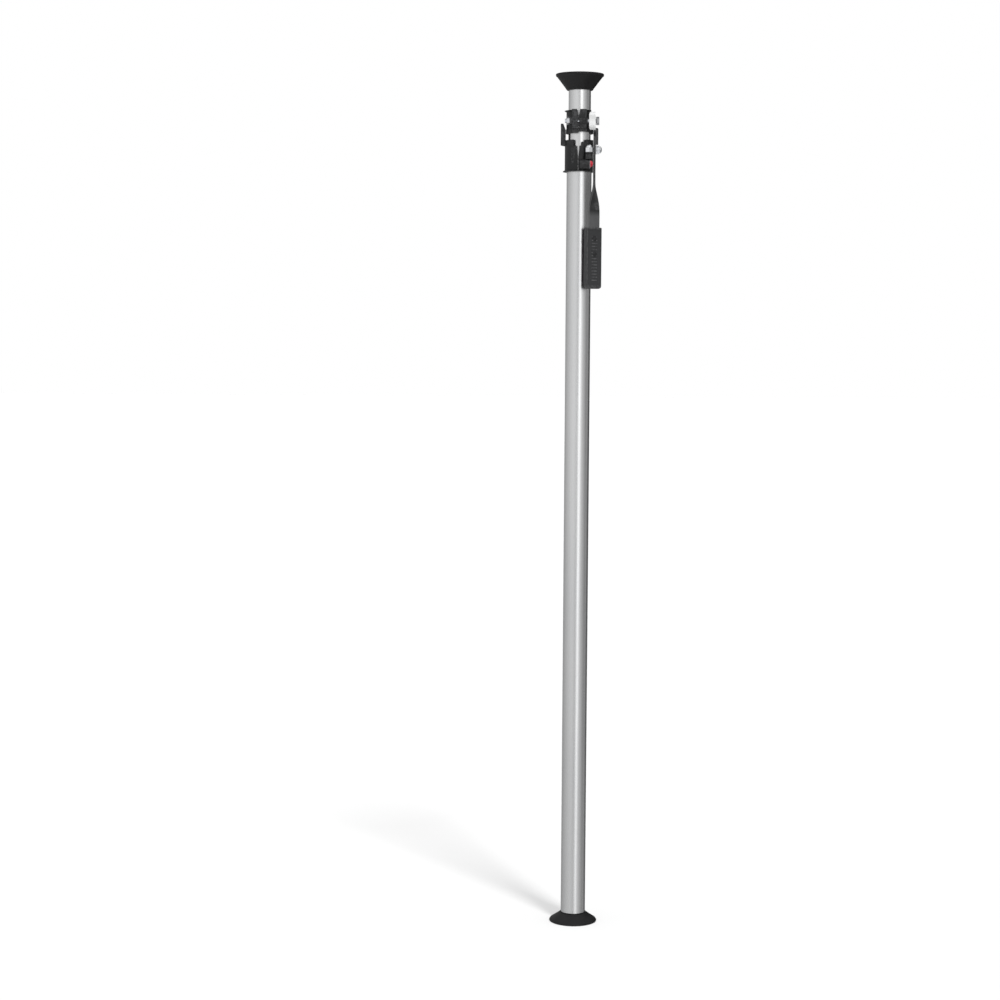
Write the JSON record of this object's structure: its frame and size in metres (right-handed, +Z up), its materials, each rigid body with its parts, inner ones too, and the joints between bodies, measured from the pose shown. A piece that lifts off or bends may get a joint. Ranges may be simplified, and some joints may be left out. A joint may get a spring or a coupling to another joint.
{
  "type": "floor to ceiling tension pole",
  "caption": "Two telescoping aluminium tubes with rubber end pads, tensioned between floor and ceiling by a cam lever that lifts a clamped collar.",
  "frame": {"origin": "centre of the foot's underside, on the floor", "axes": "+Z up along the tubes to the ceiling pad; -Y is the front, where the lock boss and clamp boss stand; +X is the lever's side"},
  "size_m": [0.0874, 0.0874, 1.5532],
  "materials": {
    "aluminium": "satin anodised, drawn",
    "rubber": "matt moulded",
    "grip_rubber": "fine grained",
    "black_casting": "black, semi-matt",
    "black_steel": "black powder coat",
    "zinc": "bright zinc plate",
    "grey_moulding": "light grey, moulded",
    "red_plastic": "gloss",
    "nylon": "natural"
  },
  "bodies": {
    "lower_body": {"lower_tube": "aluminium", "tube_bush": "nylon", "foot": "rubber", "foot_plug": "nylon", "lower_collar": "black_casting", "collar_screw_front": "black_steel", "collar_screw_rear": "black_steel", "button_bezel": "zinc", "button_spring": "zinc", "lock_stud": "zinc", "lock_washer": "black_steel", "cap_nut": "zinc", "pivot_stud": "zinc", "pivot_washer": "zinc", "pivot_nut": "zinc"},
    "upper_collar_body": {"upper_collar": "black_casting", "cam_pin": "zinc", "clamp_stud": "zinc", "clamp_washer": "black_steel", "clamp_nut": "zinc", "stop_washer": "zinc", "stop_nut": "zinc"},
    "knob_body": {"clamp_knob": "grey_moulding"},
    "lever_body": {"lever": "black_steel", "lever_grip": "grip_rubber", "grip_rivet_1": "black_steel", "grip_rivet_2": "black_steel"},
    "inner_tube_body": {"inner_tube": "aluminium", "inner_tube_glide": "nylon", "cup_plug": "nylon", "top_cup": "rubber"},
    "button_body": {"release_button": "red_plastic"}
  },
  "joints": [
    {"name": "lever_swing", "type": "hinge", "parent": "lower_body", "child": "lever_body", "pos_m": [0.0273, 0, 1.4182], "axis": [-1, 0, 0], "range_deg": [0, 99.9]},
    {"name": "collar_lift", "type": "slide", "parent": "lower_body", "child": "upper_collar_body", "axis": [0, 0, 1], "range_m": [-0.0115, 0]},
    {"name": "tube_slide", "type": "slide", "parent": "upper_collar_body", "child": "inner_tube_body", "axis": [0, 0, 1], "range_m": [-0.035, 1.145]},
    {"name": "knob_turn", "type": "hinge", "parent": "upper_collar_body", "child": "knob_body", "pos_m": [0.023, -0.0277, 1.4672], "axis": [1, 0, 0], "range_deg": [-360, 0]},
    {"name": "button_press", "type": "slide", "parent": "lower_body", "child": "button_body", "axis": [-1, 0, 0], "range_m": [0, 0.003], "stiffness_N_per_m": 400, "springref_m": -0.001, "deforming": ["button_spring"]}
  ],
  "couplings": [
    {"joint": "collar_lift", "follows": "lever_swing", "m_per_rad": -0.0065903}
  ]
}
